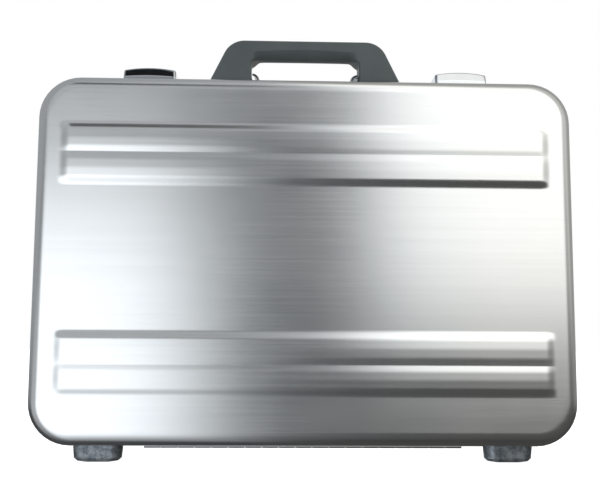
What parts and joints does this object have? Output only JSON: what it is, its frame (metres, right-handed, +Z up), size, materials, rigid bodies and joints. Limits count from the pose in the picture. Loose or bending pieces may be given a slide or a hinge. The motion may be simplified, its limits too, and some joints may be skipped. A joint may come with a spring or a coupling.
{
  "type": "hard attache case",
  "caption": "Aluminium attache case with ribbed faces, drop handle, combination locks and feet; lid swings down on a piano hinge with folding stays.",
  "frame": {"origin": "on the floor under the middle of the case's outer box", "axes": "+X along the case's width to the right of someone facing the lid, +Y from the lid to the base, +Z up"},
  "size_m": [0.4524, 0.104, 0.3686],
  "materials": {
    "shell": "brushed anodised sheet",
    "frame": "satin extruded rim",
    "gasket": "matt black cord",
    "rivets": "plain",
    "hinge": "nickel-plated strip",
    "screws": "zinc plated",
    "feet": "polished plating",
    "stays": "nickel-plated strip",
    "handle": "fine-grained grey moulding",
    "posts": "polished plating",
    "pins": "plain",
    "springs": "oiled wire",
    "hasps": "polished plating",
    "brackets": "nickel plated",
    "housings": "satin plating",
    "slides": "polished plating",
    "dials": "black with pale numerals",
    "lining": "dark grey woven cloth over foam",
    "pocket": "dark grey cloth"
  },
  "bodies": {
    "base": {"base_foot_screws": "screws", "base_frame": "frame", "base_frame_rivets": "rivets", "base_hinge_leaf": "hinge", "base_hinge_rivets": "hinge", "base_lining": "lining", "base_shell": "shell", "base_stay_pivots": "stays", "frame_gasket": "gasket", "handle_backplates": "stays", "handle_post_rivets": "rivets", "hinge_pin": "hinge", "left_base_foot": "feet", "left_dial_spindle": "pins", "left_handle_pin": "pins", "left_handle_post": "posts", "left_lock_housing": "housings", "lock_screws": "screws", "right_base_foot": "feet", "right_dial_spindle": "pins", "right_handle_pin": "pins", "right_handle_post": "posts", "right_lock_housing": "housings"},
    "lid": {"hasp_bracket_rivets": "rivets", "left_hasp_bracket": "brackets", "left_hasp_pin": "pins", "left_hasp_spring": "springs", "left_lid_foot": "feet", "lid_foot_screws": "screws", "lid_frame": "frame", "lid_frame_rivets": "rivets", "lid_hinge_leaf": "hinge", "lid_hinge_rivets": "hinge", "lid_lining": "lining", "lid_pocket": "pocket", "lid_shell": "shell", "lid_stay_pivots": "stays", "right_hasp_bracket": "brackets", "right_hasp_pin": "pins", "right_hasp_spring": "springs", "right_lid_foot": "feet"},
    "handle_body": {"handle": "handle"},
    "left_wheel_1": {"left_dial_1": "dials"},
    "left_wheel_2": {"left_dial_2": "dials"},
    "left_wheel_3": {"left_dial_3": "dials"},
    "left_hasp_cover": {"left_hasp": "hasps"},
    "left_slide": {"left_lock_slide": "slides"},
    "left_stay_lower": {"left_stay_lower_arm": "stays", "left_stay_pin": "stays"},
    "left_stay_upper": {"left_stay_upper_arm": "stays"},
    "right_wheel_1": {"right_dial_1": "dials"},
    "right_wheel_2": {"right_dial_2": "dials"},
    "right_wheel_3": {"right_dial_3": "dials"},
    "right_hasp_cover": {"right_hasp": "hasps"},
    "right_slide": {"right_lock_slide": "slides"},
    "right_stay_lower": {"right_stay_lower_arm": "stays", "right_stay_pin": "stays"},
    "right_stay_upper": {"right_stay_upper_arm": "stays"}
  },
  "joints": [
    {"name": "lid_hinge", "type": "hinge", "parent": "base", "child": "lid", "pos_m": [0, -0.008, 0.0114], "axis": [1, 0, 0], "range_deg": [0, 100]},
    {"name": "left_stay_lower_turn", "type": "hinge", "parent": "base", "child": "left_stay_lower", "pos_m": [-0.2174, 0.004, 0.1214], "axis": [1, 0, 0], "range_deg": [0, 100]},
    {"name": "left_stay_upper_turn", "type": "hinge", "parent": "lid", "child": "left_stay_upper", "pos_m": [-0.2188, -0.02, 0.1214], "axis": [1, 0, 0], "range_deg": [-100, 0]},
    {"name": "right_stay_lower_turn", "type": "hinge", "parent": "base", "child": "right_stay_lower", "pos_m": [0.2174, 0.004, 0.1214], "axis": [1, 0, 0], "range_deg": [0, 100]},
    {"name": "right_stay_upper_turn", "type": "hinge", "parent": "lid", "child": "right_stay_upper", "pos_m": [0.2188, -0.02, 0.1214], "axis": [1, 0, 0], "range_deg": [-100, 0]},
    {"name": "handle_fold", "type": "hinge", "parent": "base", "child": "handle_body", "pos_m": [0, 0.008, 0.334], "axis": [1, 0, 0], "range_deg": [-88, 88]},
    {"name": "left_hasp_lift", "type": "hinge", "parent": "lid", "child": "left_hasp_cover", "pos_m": [-0.136, -0.0205, 0.326], "axis": [1, 0, 0], "range_deg": [0, 85]},
    {"name": "left_lock_slide_travel", "type": "slide", "parent": "base", "child": "left_slide", "axis": [1, 0, 0], "range_m": [0, 0.004]},
    {"name": "left_dial_1_spin", "type": "hinge", "parent": "base", "child": "left_wheel_1", "pos_m": [-0.145, 0.016, 0.3276], "axis": [1, 0, 0], "continuous": true},
    {"name": "left_dial_2_spin", "type": "hinge", "parent": "base", "child": "left_wheel_2", "pos_m": [-0.136, 0.016, 0.3276], "axis": [1, 0, 0], "continuous": true},
    {"name": "left_dial_3_spin", "type": "hinge", "parent": "base", "child": "left_wheel_3", "pos_m": [-0.127, 0.016, 0.3276], "axis": [1, 0, 0], "continuous": true},
    {"name": "right_hasp_lift", "type": "hinge", "parent": "lid", "child": "right_hasp_cover", "pos_m": [0.136, -0.0205, 0.326], "axis": [1, 0, 0], "range_deg": [0, 85]},
    {"name": "right_lock_slide_travel", "type": "slide", "parent": "base", "child": "right_slide", "axis": [-1, 0, 0], "range_m": [0, 0.004]},
    {"name": "right_dial_1_spin", "type": "hinge", "parent": "base", "child": "right_wheel_1", "pos_m": [0.145, 0.016, 0.3276], "axis": [1, 0, 0], "continuous": true},
    {"name": "right_dial_2_spin", "type": "hinge", "parent": "base", "child": "right_wheel_2", "pos_m": [0.136, 0.016, 0.3276], "axis": [1, 0, 0], "continuous": true},
    {"name": "right_dial_3_spin", "type": "hinge", "parent": "base", "child": "right_wheel_3", "pos_m": [0.127, 0.016, 0.3276], "axis": [1, 0, 0], "continuous": true}
  ],
  "couplings": [
    {"joint": "left_stay_lower_turn", "follows": "lid_hinge", "ratio": 1},
    {"joint": "left_stay_upper_turn", "follows": "lid_hinge", "ratio": -1},
    {"joint": "right_stay_lower_turn", "follows": "lid_hinge", "ratio": 1},
    {"joint": "right_stay_upper_turn", "follows": "lid_hinge", "ratio": -1}
  ]
}
